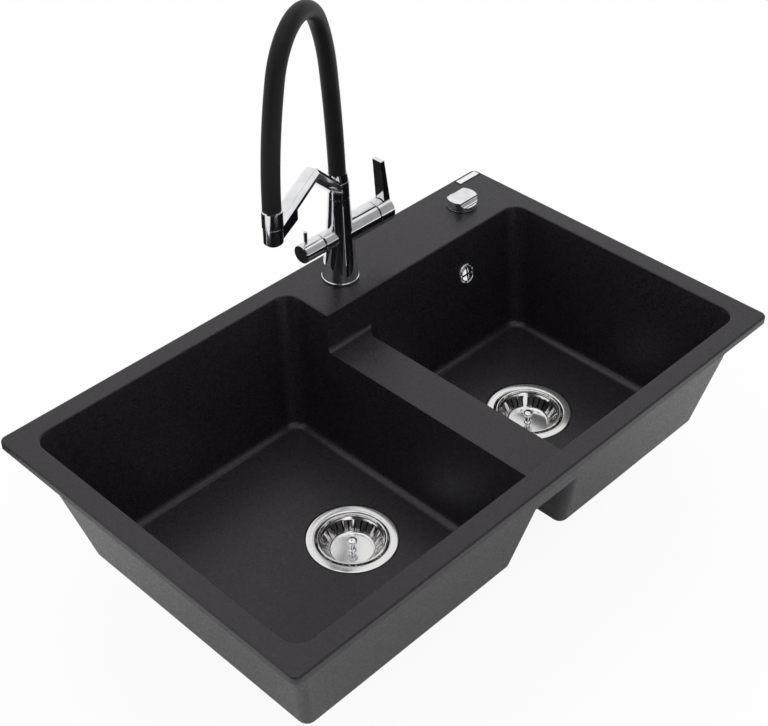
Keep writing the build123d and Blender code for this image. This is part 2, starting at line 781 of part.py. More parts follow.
keep("popup_nut", hex_nut(nut_flats, popup_tube_radius + running_gap,
                          ledge_bottom - popup_nut_height, ledge_bottom, popup_place))
drum_low = cable_level - drum_height / 2
drum_high = cable_level + drum_height / 2
popup_spindle = tube(0, spindle_radius, drum_low, popup_knob_bottom + spindle_grip, popup_place)
keep("popup_spindle", popup_spindle)
popup_drum = spun([(spindle_radius + fit_gap, drum_low), (drum_radius, drum_low),
                   (drum_radius, cable_level - cable_bore),
                   (drum_radius - drum_groove, cable_level - cable_bore),
                   (drum_radius - drum_groove, cable_level + cable_bore),
                   (drum_radius, cable_level + cable_bore), (drum_radius, drum_high),
                   (spindle_radius + fit_gap, drum_high)], popup_place)
keep("popup_drum", popup_drum)

collar_inner = popup_tube_radius + running_gap
with BuildPart() as popup_cable_housing:
    add(spun([(spindle_radius + clear_gap, box_top), (collar_inner, box_top),
              (collar_inner, box_top + cable_box_collar),
              (collar_inner + cable_box_collar_wall, box_top + cable_box_collar),
              (collar_inner + cable_box_collar_wall, box_top),
              (cable_box_radius, box_top), (cable_box_radius, box_bottom), (0, box_bottom),
              (0, box_bottom + cable_box_wall), (cavity_radius, box_bottom + cable_box_wall),
              (cavity_radius, box_top - cable_box_wall),
              (spindle_radius + clear_gap, box_top - cable_box_wall)], popup_place))
    add(tube(0, cable_gland_radius, cavity_radius + cable_box_wall / 2,
             cable_box_radius + cable_gland_length, popup_place + up * cable_level, left))
    add(tube(0, cable_bore, cavity_radius - cable_box_wall,
             cable_box_radius + 2 * cable_gland_length, popup_place + up * cable_level, left),
        mode=Mode.SUBTRACT)
keep("popup_cable_housing", popup_cable_housing.part)

# --- tap ---------------------------------------------------------------------------------------
tap_place = Vector(tap_x, tap_y, 0)
ring_bottom = rim_top + tap_seal_thickness
tap_base = ring_bottom + tap_ring_height
body_top = tap_base + body_height
shank_top = tap_base + shank_grip
mixer_centre = tap_place + up * (tap_base + mixer_axis_height)
stem_radius = stem_bore - running_gap
stem_top = body_top + swivel_gap
stem_bottom = stem_top - stem_length
lock_groove_level = stem_bottom + lock_groove_height
screw_tip = stem_radius - lock_groove_depth + swivel_gap
nut_start = mixer_reach - seam_gap - cartridge_nut_length
cartridge_start = nut_start - cartridge_length
pocket_radius = cartridge_radius + clear_gap
cap_start = mixer_reach + seam_gap
cap_end = cap_start + cap_length
lever_pivot_reach = cap_end - clear_gap - lever_root_radius
slot_start = lever_pivot_reach - lever_root_radius - lever_back_gap
core_end = filter_reach - clear_gap
core_start = core_end - filter_core_length
core_pocket_radius = filter_core_radius + running_gap
handle_start = filter_reach + seam_gap
handle_end = handle_start + filter_handle_length
filter_spindle_start = core_end - filter_spindle_grip
filter_spindle_end = handle_start + filter_handle_grip

keep("tap_base_seal", tube(tap_seal_inner, tap_seal_outer, rim_top, ring_bottom, tap_place))
tap_base_ring = spun([(shank_radius + running_gap, ring_bottom), (tap_ring_radius, ring_bottom),
                      (tap_ring_radius, tap_base - cap_edge), (tap_ring_radius - cap_edge, tap_base),
                      (shank_radius + running_gap, tap_base)], tap_place)
keep("tap_base_ring", tap_base_ring)

with BuildPart() as tap_body:
    with BuildSketch(Plane(origin=tap_place, x_dir=right, z_dir=-backward)):
        with BuildLine():
            flare = ThreePointArc((body_base_radius, tap_base),
                                  (body_waist_radius, tap_base + body_waist_height),
                                  (body_top_radius, body_top))
            Polyline((body_top_radius, body_top), (0, body_top), (0, tap_base),
                     (body_base_radius, tap_base))
        make_face()
    revolve(axis=Axis(tap_place, up))
    add(spun([(0, 0), (mixer_radius, 0), (mixer_radius, mixer_reach - cap_edge),
              (mixer_radius - cap_edge, mixer_reach), (0, mixer_reach)], mixer_centre, right))
    add(spun([(0, 0), (filter_radius, 0), (filter_radius, filter_reach - filter_edge),
              (filter_radius - filter_edge, filter_reach), (0, filter_reach)], mixer_centre, left))
    add(tube(0, shank_radius + running_gap, tap_base - clear_gap, shank_top, tap_place),
        mode=Mode.SUBTRACT)
    add(tube(0, stem_bore, tap_base, body_top + clear_gap, tap_place), mode=Mode.SUBTRACT)
    add(tube(0, cartridge_feed, 0, mixer_reach, mixer_centre, right), mode=Mode.SUBTRACT)
    add(tube(0, pocket_radius, cartridge_start - clear_gap, mixer_reach + clear_gap,
             mixer_centre, right), mode=Mode.SUBTRACT)
    add(tube(0, filter_feed, 0, filter_reach, mixer_centre, left), mode=Mode.SUBTRACT)
    add(tube(0, core_pocket_radius, core_start - clear_gap, filter_reach + clear_gap,
             mixer_centre, left), mode=Mode.SUBTRACT)
    add(tube(0, retaining_screw_radius + running_gap, 0, body_base_radius,
             tap_place + up * lock_groove_level, backward), mode=Mode.SUBTRACT)
keep("tap_body", tap_body.part)

with BuildPart() as tap_shank:
    add(tube(0, shank_radius, -shank_drop, shank_top, tap_place))
    with Locations(tap_place + down * shank_drop):
        with PolarLocations(inlet_pitch_radius, inlet_count, start_angle=90):
            Cylinder(inlet_socket_radius, 2 * inlet_socket_depth, mode=Mode.SUBTRACT)
            Cylinder(inlet_bore, 4 * shank_drop, mode=Mode.SUBTRACT)
keep("tap_shank", tap_shank.part)
washer_top = ledge_bottom - clamp_seal_thickness
lock_nut_top = washer_top - clamp_washer_thickness
keep("tap_clamp_seal", tube(shank_radius + clear_gap, clamp_radius, washer_top, ledge_bottom,
                            tap_place))
keep("tap_clamp_washer", tube(shank_radius + clear_gap, clamp_radius, lock_nut_top, washer_top,
                              tap_place))
keep("tap_lock_nut", hex_nut(nut_flats, shank_radius + running_gap, lock_nut_top - lock_nut_height,
                             lock_nut_top, tap_place))
keep("spout_retaining_screw", tube(0, retaining_screw_radius, screw_tip,
                                   screw_tip + retaining_screw_length,
                                   tap_place + up * lock_groove_level, backward))

# --- mixer lever -------------------------------------------------------------------------------
rotor_start = nut_start - rotor_grip
mixer_cartridge = spun([(0, cartridge_start), (cartridge_radius, cartridge_start),
                        (cartridge_radius, nut_start), (rotor_radius + running_gap, nut_start),
                        (rotor_radius + running_gap, rotor_start - clear_gap),
                        (0, rotor_start - clear_gap)], mixer_centre, right)
keep("mixer_cartridge", mixer_cartridge)
keep("mixer_cartridge_nut", tube(cartridge_nut_bore, pocket_radius - running_gap, nut_start,
                                 nut_start + cartridge_nut_length, mixer_centre, right))
keep("mixer_rotor", tube(0, rotor_radius, rotor_start, slot_start - clear_gap, mixer_centre, right))

slot_floor = lever_root_radius + lever_slot_gap
grub_screw_place = mixer_centre + right * (slot_start - grub_screw_inset)
lever_pivot = mixer_centre + right * lever_pivot_reach
with BuildPart() as mixer_cap:
    add(spun([(0, cap_start), (mixer_radius - cap_edge, cap_start), (mixer_radius, cap_start + cap_edge),
              (mixer_radius, cap_end - cap_edge), (mixer_radius - cap_edge, cap_end), (0, cap_end)],
             mixer_centre, right))
    add(tube(0, rotor_radius + fit_gap, cap_start - clear_gap, slot_start + clear_gap,
             mixer_centre, right), mode=Mode.SUBTRACT)
    with Locations(mixer_centre + right * (slot_start + cap_length / 2)
                   + up * (mixer_radius - slot_floor)):
        Box(cap_length, lever_width + 2 * clear_gap, 2 * mixer_radius, mode=Mode.SUBTRACT)
    add(tube(0, lever_pin_radius + fit_gap, -lever_pin_left - clear_gap, mixer_radius + clear_gap,
             lever_pivot, backward), mode=Mode.SUBTRACT)
    add(tube(0, grub_screw_radius + fit_gap, 0, mixer_radius + clear_gap, grub_screw_place, down),
        mode=Mode.SUBTRACT)
keep("mixer_cap", mixer_cap.part)
keep("mixer_lever_pin", tube(0, lever_pin_radius, -lever_pin_left, lever_pin_right, lever_pivot,
                             backward))
keep("mixer_grub_screw", tube(0, grub_screw_radius, rotor_radius, rotor_radius + grub_screw_length,
                              grub_screw_place, down))

lever_tip_inner = -lever_root_radius - lever_tip_lean
with BuildPart() as mixer_lever:
    with BuildSketch(Plane(origin=lever_pivot, x_dir=right, z_dir=-backward)):
        with BuildLine():
            Polyline((-lever_root_radius, 0), (-lever_root_radius, lever_inner_height),
                     (lever_tip_inner, lever_tip_height),
                     (lever_tip_inner + lever_tip_thickness, lever_tip_height),
                     (lever_root_radius, lever_outer_height), (lever_root_radius, 0), close=True)
        make_face()
        Circle(lever_root_radius)
        Circle(lever_pin_radius + running_gap, mode=Mode.SUBTRACT)
    extrude(amount=lever_width / 2, both=True)
    fillet(mixer_lever.faces().sort_by(Axis.Z)[-1].edges(), lever_edge_round)
keep("mixer_lever", mixer_lever.part)

# --- filtered water valve ----------------------------------------------------------------------
filter_valve_core = spun([(0, core_start), (filter_core_radius, core_start),
                          (filter_core_radius, core_end),
                          (filter_spindle_radius + running_gap, core_end),
                          (filter_spindle_radius + running_gap, filter_spindle_start),
                          (0, filter_spindle_start)], mixer_centre, left)
keep("filter_valve_core", filter_valve_core)
keep("filter_spindle", tube(0, filter_spindle_radius, filter_spindle_start + clear_gap,
                            filter_spindle_end, mixer_centre, left))
filter_pin_place = mixer_centre + left * (handle_end - filter_pin_inset)
filter_pin_start = filter_radius - filter_pin_depth
with BuildPart() as filter_handle:
    add(spun([(0, handle_start), (filter_radius - filter_edge, handle_start),
              (filter_radius, handle_start + filter_edge), (filter_radius, handle_end - filter_edge),
              (filter_radius - filter_edge, handle_end), (0, handle_end)], mixer_centre, left))
    add(tube(0, filter_spindle_radius + fit_gap, handle_start - clear_gap,
             filter_spindle_end + clear_gap, mixer_centre, left), mode=Mode.SUBTRACT)
    add(tube(0, filter_pin_radius + fit_gap, filter_pin_start - clear_gap,
             filter_radius + clear_gap, filter_pin_place), mode=Mode.SUBTRACT)
keep("filter_handle", filter_handle.part)
keep("filter_pin", tube(0, filter_pin_radius, filter_pin_start, filter_pin_start + filter_pin_length,
                        filter_pin_place))

# --- spout -------------------------------------------------------------------------------------
spout_out = Vector(-cos(radians(spout_turn)), -sin(radians(spout_turn)), 0)
spout_side = spout_out.cross(up)
spout_plane = Plane(origin=tap_place, x_dir=spout_out, z_dir=spout_side)
collar_top = stem_top + collar_height
hose_start_height = collar_top + ferrule_floor


def in_spout(reach, height):
    """Point over the spout's middle line."""
    return tap_place + spout_out * reach + up * height


def round_section(reach, height, radius):
    """Level circle over the spout's middle line."""
    with BuildSketch(Plane(origin=in_spout(reach, height))) as section:
        Circle(radius)
    return section.sketch


hose_fall_turn = 180 - hose_lean - hose_rise_turn - hose_shoulder_turn - hose_crown_turn
hose_bends = ((hose_rise_radius, hose_rise_turn), (hose_shoulder_radius, hose_shoulder_turn),
              (hose_crown_radius, hose_crown_turn), (hose_fall_radius, hose_fall_turn))
heading = radians(hose_lean)
hose_reach = hose_start_reach
hose_height = hose_start_height
with BuildPart() as spout_hose:
    with BuildLine(spout_plane) as hose_path:
        for bend_radius, turn in hose_bends:
            bend_reach = hose_reach + bend_radius * cos(heading)
            bend_height = hose_height - bend_radius * sin(heading)
            CenterArc((bend_reach, bend_height), bend_radius, 180 - degrees(heading), -turn)
            heading = heading + radians(turn)
            hose_reach = bend_reach - bend_radius * cos(heading)
            hose_height = bend_height + bend_radius * sin(heading)
        Line((hose_reach, hose_height), (hose_reach, hose_height - hose_tail))
    with BuildSketch(Plane(origin=hose_path.line @ 0, z_dir=hose_path.line % 0)):
        Circle(hose_radius)
        Circle(hose_bore, mode=Mode.SUBTRACT)
    sweep(path=hose_path.line)
keep("spout_hose", spout_hose.part)

hose_end = hose_height - hose_tail
sleeve_top = hose_end + sleeve_overlap
sleeve_bottom = sleeve_top - sleeve_height
holder_top = sleeve_bottom - clear_gap
holder_bottom = holder_top - holder_height
nozzle_top = hose_end - nozzle_web
nozzle_bottom = holder_bottom - nozzle_drop
spray = in_spout(hose_reach, 0)
hose_direction = spout_out * sin(radians(hose_lean)) + up * cos(radians(hose_lean))

with BuildPart() as spout_ferrule:
    loft([round_section(collar_lean, collar_top, ferrule_base_radius),
          round_section(ferrule_lean, collar_top + ferrule_height, ferrule_top_radius)])
    add(tube(0, hose_radius + running_gap, 0, 2 * ferrule_height,
             in_spout(hose_start_reach, hose_start_height), hose_direction), mode=Mode.SUBTRACT)
    add(tube(0, water_bore, collar_top - clear_gap, collar_top + 2 * ferrule_floor,
             in_spout(collar_lean, 0)), mode=Mode.SUBTRACT)
keep("spout_ferrule", spout_ferrule.part)

arm_root = (0, stem_top + arm_root_height)
arm_fold = (arm_fold_reach, body_top + arm_fold_height)
arm_end = (hose_reach, holder_top - arm_end_depth)
gusset_top = (arm_fold[1] + arm_end[1]) / 2
gusset_reach = hose_reach - gusset_start
gusset_low = arm_end[1] - arm_thickness / 2 - gusset_depth + gusset_start * tan(radians(gusset_slope))
with BuildPart() as spout_arm:
    loft([round_section(0, stem_top, body_top_radius),
          round_section(collar_lean, collar_top, collar_top_radius)])
    with BuildLine(spout_plane) as arm_line:
        Polyline(arm_root, arm_fold, arm_end)
    with BuildSketch(Plane(origin=arm_line.line @ 0, x_dir=spout_side, z_dir=arm_line.line % 0)):
        arm_section = Rectangle(arm_width, arm_thickness)
        chamfer(arm_section.vertices(), arm_chamfer)
    sweep(path=arm_line.line, transition=Transition.RIGHT)
    with BuildSketch(spout_plane):
        with BuildLine():
            Polyline((gusset_reach, gusset_top), (gusset_reach, gusset_low),
                     (hose_reach, holder_bottom), arm_end,
                     close=True)
        make_face()
    extrude(amount=gusset_width / 2, both=True)
    add(tube(0, holder_radius, holder_bottom, holder_top, spray))
    add(tube(0, nozzle_radius + clear_gap, holder_bottom - clear_gap, sleeve_top, spray),
        mode=Mode.SUBTRACT)
    add(tube(0, sleeve_radius + clear_gap, holder_top, sleeve_top, spray), mode=Mode.SUBTRACT)
    loft([round_section(collar_lean, collar_top, ferrule_base_radius + clear_gap),
          round_section(ferrule_lean, collar_top + ferrule_height, ferrule_top_radius + clear_gap)],
         mode=Mode.SUBTRACT)
    add(spun([(0, stem_bottom), (stem_radius, stem_bottom),
              (stem_radius, stem_bottom + stem_groove_low),
              (stem_radius - stem_groove_depth, stem_bottom + stem_groove_low),
              (stem_radius - stem_groove_depth, stem_bottom + stem_groove_low + stem_groove_width),
              (stem_radius, stem_bottom + stem_groove_low + stem_groove_width),
              (stem_radius, lock_groove_level - lock_groove_width / 2),
              (stem_radius - lock_groove_depth, lock_groove_level - lock_groove_width / 2),
              (stem_radius - lock_groove_depth, lock_groove_level + lock_groove_width / 2),
              (stem_radius, lock_groove_level + lock_groove_width / 2),
              (stem_radius, stem_bottom + stem_groove_high),
              (stem_radius - stem_groove_depth, stem_bottom + stem_groove_high),
              (stem_radius - stem_groove_depth, stem_bottom + stem_groove_high + stem_groove_width),
              (stem_radius, stem_bottom + stem_groove_high + stem_groove_width),
              (stem_radius, stem_top), (0, stem_top)], tap_place))
    add(tube(0, water_bore, stem_bottom - clear_gap, collar_top + clear_gap, tap_place),
        mode=Mode.SUBTRACT)
keep("spout_arm", spout_arm.part)

o_ring_minor = (stem_groove_depth - o_ring_squeeze) / 2
o_ring_major = stem_radius - stem_groove_depth + o_ring_minor
with BuildPart() as spout_o_rings:
    for groove in (stem_groove_low, stem_groove_high):
        with Locations(tap_place + up * (stem_bottom + groove + stem_groove_width / 2)):
            Torus(o_ring_major, o_ring_minor)
keep("spout_o_rings", spout_o_rings.part)

nozzle_room = nozzle_radius + running_gap
sleeve_edge = sleeve_radius - hose_radius - running_gap
spray_sleeve = spun([(nozzle_room, sleeve_bottom), (sleeve_radius, sleeve_bottom),
                     (sleeve_radius, sleeve_top - sleeve_edge),
                     (sleeve_radius - sleeve_edge / 2, sleeve_top),
                     (hose_radius + fit_gap, sleeve_top), (hose_radius + fit_gap, hose_end),
                     (hose_bore, hose_end), (hose_bore, nozzle_top), (nozzle_room, nozzle_top)], spray)
keep("spray_sleeve", spray_sleeve)
aerator_low = nozzle_bottom + clear_gap
aerator_high = aerator_low + aerator_height
spray_nozzle = spun([(hose_bore, nozzle_top), (nozzle_radius, nozzle_top),
                     (nozzle_radius, nozzle_bottom + cap_edge),
                     (nozzle_radius - cap_edge, nozzle_bottom),
                     (aerator_radius + running_gap, nozzle_bottom),
                     (aerator_radius + running_gap, aerator_high), (hose_bore, aerator_high)], spray)
keep("spray_nozzle", spray_nozzle)
with BuildPart() as spray_aerator:
    add(tube(0, aerator_radius, aerator_low, aerator_high, spray))
    with Locations(spray + up * aerator_low):
        with PolarLocations(aerator_hole_circle, aerator_holes):
            Cylinder(aerator_hole_radius, 3 * aerator_height, mode=Mode.SUBTRACT)
keep("spray_aerator", spray_aerator.part)

for name, solids in pieces.items():
    solids.label = name
    export_step(solids, "parts/" + name + ".step")
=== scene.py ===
import json
import math

import bpy
from bpy.props import FloatProperty, FloatVectorProperty, IntProperty, PointerProperty
from mathutils import Matrix, Vector


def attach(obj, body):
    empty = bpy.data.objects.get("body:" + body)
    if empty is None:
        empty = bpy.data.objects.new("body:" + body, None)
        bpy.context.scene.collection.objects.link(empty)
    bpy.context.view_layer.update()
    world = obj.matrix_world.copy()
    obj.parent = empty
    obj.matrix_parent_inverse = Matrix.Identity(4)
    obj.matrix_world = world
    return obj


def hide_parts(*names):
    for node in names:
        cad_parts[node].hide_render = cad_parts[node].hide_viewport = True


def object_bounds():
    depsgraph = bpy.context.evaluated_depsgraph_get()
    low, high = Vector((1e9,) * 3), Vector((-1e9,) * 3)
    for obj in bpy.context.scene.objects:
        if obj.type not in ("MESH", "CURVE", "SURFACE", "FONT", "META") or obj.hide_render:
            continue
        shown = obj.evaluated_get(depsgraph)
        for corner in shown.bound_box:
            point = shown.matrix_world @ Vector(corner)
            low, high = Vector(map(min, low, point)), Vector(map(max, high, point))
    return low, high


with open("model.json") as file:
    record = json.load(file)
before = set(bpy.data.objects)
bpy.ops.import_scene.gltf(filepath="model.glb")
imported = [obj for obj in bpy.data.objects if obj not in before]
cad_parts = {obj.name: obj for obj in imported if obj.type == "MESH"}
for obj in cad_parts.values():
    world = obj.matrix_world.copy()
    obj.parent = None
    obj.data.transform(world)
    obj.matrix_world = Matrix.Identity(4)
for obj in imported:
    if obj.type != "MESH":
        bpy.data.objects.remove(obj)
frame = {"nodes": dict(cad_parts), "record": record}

cad_low, cad_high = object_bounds()

bl_info = {
    "name": "Double bowl sink dressing",
    "version": (1, 0, 0),
    "blender": (4, 5, 0),
    "location": "3D View > Sidebar > Sink",
    "description": "Finishes, formed steel and studio for a double bowl sink with its mixer tap",
    "category": "Object",
}

MM = 0.001
up = Vector((0, 0, 1))

# Places on the frame, in metres: drains at the bowls' floors, tap hole, spout's heading.
drains = {"large": (-0.119, -0.033, -0.155), "small": (0.206, -0.033, -0.155)}
baskets = {"large": "large_strainer_basket", "small": "small_strainer_basket"}
tap_place = (0.087, 0.1935, 0.0)
spout_out = Vector((-0.906308, -0.422618, 0))
spout_side = Vector((-0.422618, 0.906308, 0))

# Lines that are spun, as (radius, height) points in mm from the bowl's floor.
cup_profile = (
    (56.0, -1.0), (56.0, -0.1), (55.7, 0.35), (55.0, 0.6), (53.6, 0.68), (50.0, 0.6), (46.6, 0.5),
    (45.4, 0.3), (44.7, -0.2), (44.3, -1.0), (44.3, -2.6), (43.9, -3.3), (43.0, -3.7), (41.2, -5.0),
    (40.2, -6.6), (39.8, -8.4), (39.8, -24.6), (39.2, -26.0), (37.8, -26.8), (18.0, -26.8),
    (18.0, -28.0), (38.4, -28.0), (40.4, -27.0), (41.0, -25.0), (41.0, -9.0), (45.5, -3.7),
    (45.5, -1.0), (56.0, -1.0),
)
basket_profile = (
    (41.9, -1.1), (42.4, -0.6), (42.5, 0.1), (42.2, 0.75), (41.6, 1.05), (40.8, 1.0), (40.2, 0.6),
    (39.8, -0.2), (39.4, -1.6), (38.9, -2.4), (38.2, -3.1), (37.4, -3.9), (36.7, -4.75),
    (28.6, -16.75), (28.0, -17.5), (27.2, -18.1), (26.0, -18.45), (24.6, -18.5), (16.0, -18.5),
    (0.0, -18.5),
)
slot_top = 4.75
slot_bottom = 16.75
# Columns of faces from one slot to the next: one is the slot, the rest the steel between.
columns_per_slot = 4
knob_profile = (
    (0.0, -18.4), (5.2, -18.4), (5.2, -17.6), (4.6, -17.0), (3.6, -16.6), (3.2, -15.8), (3.1, -9.0),
    (3.3, -7.4), (4.2, -6.5), (5.4, -6.1), (6.1, -5.4), (6.4, -4.4), (6.3, -3.2), (5.6, -2.3),
    (4.2, -1.75), (2.2, -1.5), (0.0, -1.5),
)

# The spout arm's line in its own plane, as (reach, height) points in mm, and what hangs from it.
arm_line = ((0, 139.4), (86.0, 212.5), (200.45, 207.343))
arm_width = 20.0
arm_thickness = 15.0
gusset_outline = ((148.45, 209.92), (148.45, 190.94), (200.45, 192.24), (200.45, 207.34))
gusset_width = 17.0
arm_past = 30  # how far the arm's two bars run on before they are cut, in mm
fold_round = 2.2
collar_profile = ((8.95, 131.4), (13.2, 131.4), (13.95, 131.7), (14.0, 132.2), (13.25, 154.9),
                  (12.9, 155.35), (12.2, 155.4), (8.95, 155.4))
stem_profile = ((6.0, 131.4), (8.95, 131.4), (8.95, 100.6), (8.6, 100.4), (6.0, 100.4))
holder_profile = ((9.8, 192.3), (11.0, 192.3), (11.4, 192.7), (11.4, 212.8), (11.0, 213.2),
                  (9.8, 213.2), (9.8, 192.3))

# Pop-up knob: a disc with two coves that leave the grip, in mm from the hole in the ledge.
popup_place = (0.319, 0.194, 0.0)
popup_knob_profile = (
    (0.0, 12.5), (20.3, 12.5), (21.0, 13.2), (21.0, 23.9), (20.8, 24.3), (20.4, 24.5), (0.0, 24.5),
)
cove_radius = 7.5
grip_half_width = 12.5
grip_top = 24.5

# Overflow rosette: a ring and four crowned petals, as (radius, height) points in mm off the wall.
overflow_place = (0.262, 0.13221, -0.0454)
overflow_out = Vector((0, -0.97437, 0.224951))
ring_profile = ((11.9, 0.0), (14.2, 0.0), (14.2, 0.9), (13.9, 1.7), (13.2, 2.2), (12.4, 2.3),
                (11.9, 1.9), (11.9, 0.0))
petal_profile = ((0.0, 0.6), (11.2, 0.6), (11.2, 1.2), (10.9, 1.8), (10.0, 2.2), (8.4, 2.4),
                 (5.6, 2.55), (0.0, 2.65))
barrel_profile = ((8.6, -19.2), (10.4, -19.2), (10.4, 0.0), (11.9, 0.0), (11.9, 0.7), (8.6, 0.7),
                  (8.6, -19.2))
petal_gaps = ((30, 2.6, 8), (2.6, 30, 8))

# Label plate on the rim's top: its middle in metres and its size in mm.
badge_place = (0.376, 0.2345, 0.010)
badge_size = (38.0, 9.0, 0.8)
# A black sheet under the plate paints the shadow gap round it: its margin past the plate and its
# thickness, in mm.
shadow_gap_margin = 3.0
shadow_gap_thickness = 0.3
badge_rim = 1.3
badge_step = 0.2

# Each finish by the record's slot, filled by the first operator.
finishes = {}


# --- colour and node helpers ---------------------------------------------------------------------
def linear(code):
    """Linear colour with alpha from an sRGB hex code."""
    parts = [int(code[i:i + 2], 16) / 255 for i in (1, 3, 5)]
    colour = [p / 12.92 if p <= 0.04045 else ((p + 0.055) / 1.055) ** 2.4 for p in parts]
    return (*colour, 1.0)


def add_node(material, kind, settings=None, links=None):
    """Add one node to a material's tree: its settings, socket values and links into its sockets."""
    tree = material.node_tree
    node = tree.nodes.new(kind)
    for name, value in (settings or {}).items():
        if isinstance(name, str) and hasattr(node, name):
            setattr(node, name, value)
        else:
            node.inputs[name].default_value = value
    for name, source in (links or {}).items():
        tree.links.new(source, node.inputs[name])
    return node


def new_material(name):
    """Empty node material with its shader joined to the output."""
    material = bpy.data.materials.new(name)
    material.use_nodes = True
    material.node_tree.nodes.clear()
    shader = add_node(material, "ShaderNodeBsdfPrincipled")
    add_node(material, "ShaderNodeOutputMaterial", links={"Surface": shader.outputs["BSDF"]})
    return material, shader


def join(material, source, target):
    """Link two sockets."""
    material.node_tree.links.new(source, target)


def object_point(material):
    """The point on the piece in metres."""
    return add_node(material, "ShaderNodeTexCoord").outputs["Object"]


def two_tones(material, factor, dark, light, low=0.3, high=0.7):
    """Ramp between two colours."""
    ramp = add_node(material, "ShaderNodeValToRGB", links={"Fac": factor})
    ramp.color_ramp.elements[0].position = low
    ramp.color_ramp.elements[0].color = linear(dark)
    ramp.color_ramp.elements[1].position = high
    ramp.color_ramp.elements[1].color = linear(light)
    return ramp.outputs["Color"]


def spread(material, factor, low, high):
    """Map a 0 to 1 factor onto a range."""
    return add_node(material, "ShaderNodeMapRange", {"To Min": low, "To Max": high},
                    {"Value": factor}).outputs["Result"]


def bump(material, shader, height, strength, distance):
    """Give a shader relief from a height, its depth in metres."""
    node = add_node(material, "ShaderNodeBump", {"Strength": strength, "Distance": distance},
                    {"Height": height})
    join(material, node.outputs["Normal"], shader.inputs["Normal"])


def noise(material, point, size, detail=2.0, roughness=0.5):
    """Noise whose blobs are about size metres across."""
    return add_node(material, "ShaderNodeTexNoise",
                    {"Scale": 1 / size, "Detail": detail, "Roughness": roughness},
                    {"Vector": point}).outputs["Fac"]


# --- finishes ------------------------------------------------------------------------------------
def granite_composite(look):
    """Moulded quartz and acrylic: matt, with grains that sparkle faintly and a fine tooth."""
    material, shader = new_material("moulded_granite_composite")
    point = object_point(material)
    grains = add_node(material, "ShaderNodeTexVoronoi", {"Scale": 1 / look.grain_size},
                      {"Vector": point})
    grain = add_node(material, "ShaderNodeSeparateColor", links={"Color": grains.outputs["Color"]})
    tone = two_tones(material, grain.outputs["Red"], "#121013", "#221e23", 0.2, 0.98)
    join(material, tone, shader.inputs["Base Color"])
    join(material, spread(material, grain.outputs["Green"], 0.26, 0.42), shader.inputs["Roughness"])
    bump(material, shader, noise(material, point, 2.2 * MM, 4.0, 0.7), 0.5, 0.2 * MM)
    shader.inputs["IOR"].default_value = 1.49
    shader.inputs["Specular Tint"].default_value = linear("#fffaff")
    return material


def polished_chrome():
    """Bright chrome plate on brass: a mirror with a cool cast and faint wiping marks."""
    material, shader = new_material("polished_chrome_plate")
    point = object_point(material)
    smear = noise(material, point, 14 * MM, 4.0)
    join(material, two_tones(material, smear, "#dcdde1", "#f0f0f2"), shader.inputs["Base Color"])
    join(material, spread(material, smear, 0.035, 0.075), shader.inputs["Roughness"])
    shader.inputs["Metallic"].default_value = 1.0
    return material


def satin_steel():
    """Pressed stainless steel, lightly brushed: bright with soft streaks."""
    material, shader = new_material("brushed_stainless_steel")
    point = object_point(material)
    streak = noise(material, point, 1.2 * MM, 6.0, 0.7)
    join(material, two_tones(material, streak, "#dcdbdb", "#f0efee"), shader.inputs["Base Color"])
    join(material, spread(material, streak, 0.07, 0.15), shader.inputs["Roughness"])
    shader.inputs["Metallic"].default_value = 1.0
    return material


def badge_metal():
    """Anodised aluminium label plate, left bare: pale with a very fine satin grain."""
    material, shader = new_material("anodised_aluminium_plate")
    point = object_point(material)
    grain = noise(material, point, 0.4 * MM, 3.0)
    join(material, two_tones(material, grain, "#e9e9ec", "#f8f8fa"), shader.inputs["Base Color"])
    join(material, spread(material, grain, 0.32, 0.45), shader.inputs["Roughness"])
    shader.inputs["Metallic"].default_value = 0.35
    return material


def rubber():
    """Moulded rubber seal: matt black with a slight bloom."""
    material, shader = new_material("moulded_black_rubber")
    point = object_point(material)
    bloom = noise(material, point, 3 * MM, 4.0)
    join(material, two_tones(material, bloom, "#0c0c0d", "#171718"), shader.inputs["Base Color"])
    join(material, spread(material, bloom, 0.7, 0.9), shader.inputs["Roughness"])
    bump(material, shader, bloom, 0.3, 0.05 * MM)
    shader.inputs["IOR"].default_value = 1.52
    shader.inputs["Specular IOR Level"].default_value = 0.2
    return material


def hose_silicone():
    """Extruded silicone sleeve over a spring hose: satin black, with faint dust and draw lines."""
    material, shader = new_material("extruded_black_silicone")
    point = object_point(material)
    haze = noise(material, point, 6 * MM, 5.0)
    join(material, two_tones(material, haze, "#0f0e10", "#151416"), shader.inputs["Base Color"])
    join(material, spread(material, haze, 0.42, 0.56), shader.inputs["Roughness"])
    bump(material, shader, noise(material, point, 1.2 * MM, 3.0), 0.12, 0.05 * MM)
    shader.inputs["IOR"].default_value = 1.41
    shader.inputs["Specular IOR Level"].default_value = 0.28
    return material


def plastic(name, dark, light):
    """Injection moulded polypropylene: fine spark-eroded texture and soft gloss."""
    material, shader = new_material(name)
    point = object_point(material)
    texture = noise(material, point, 0.8 * MM, 3.0)
    join(material, two_tones(material, texture, dark, light), shader.inputs["Base Color"])
    join(material, spread(material, texture, 0.42, 0.58), shader.inputs["Roughness"])
    bump(material, shader, texture, 0.25, 0.04 * MM)
    shader.inputs["IOR"].default_value = 1.49
    return material


def raw_brass():
    """Turned brass: warm yellow with lathe marks and a little tarnish."""
    material, shader = new_material("turned_brass")
    point = object_point(material)
    tarnish = noise(material, point, 5 * MM, 5.0)
    join(material, two_tones(material, tarnish, "#a98545", "#cda862"), shader.inputs["Base Color"])
    join(material, spread(material, tarnish, 0.25, 0.42), shader.inputs["Roughness"])
    shader.inputs["Metallic"].default_value = 1.0
    return material


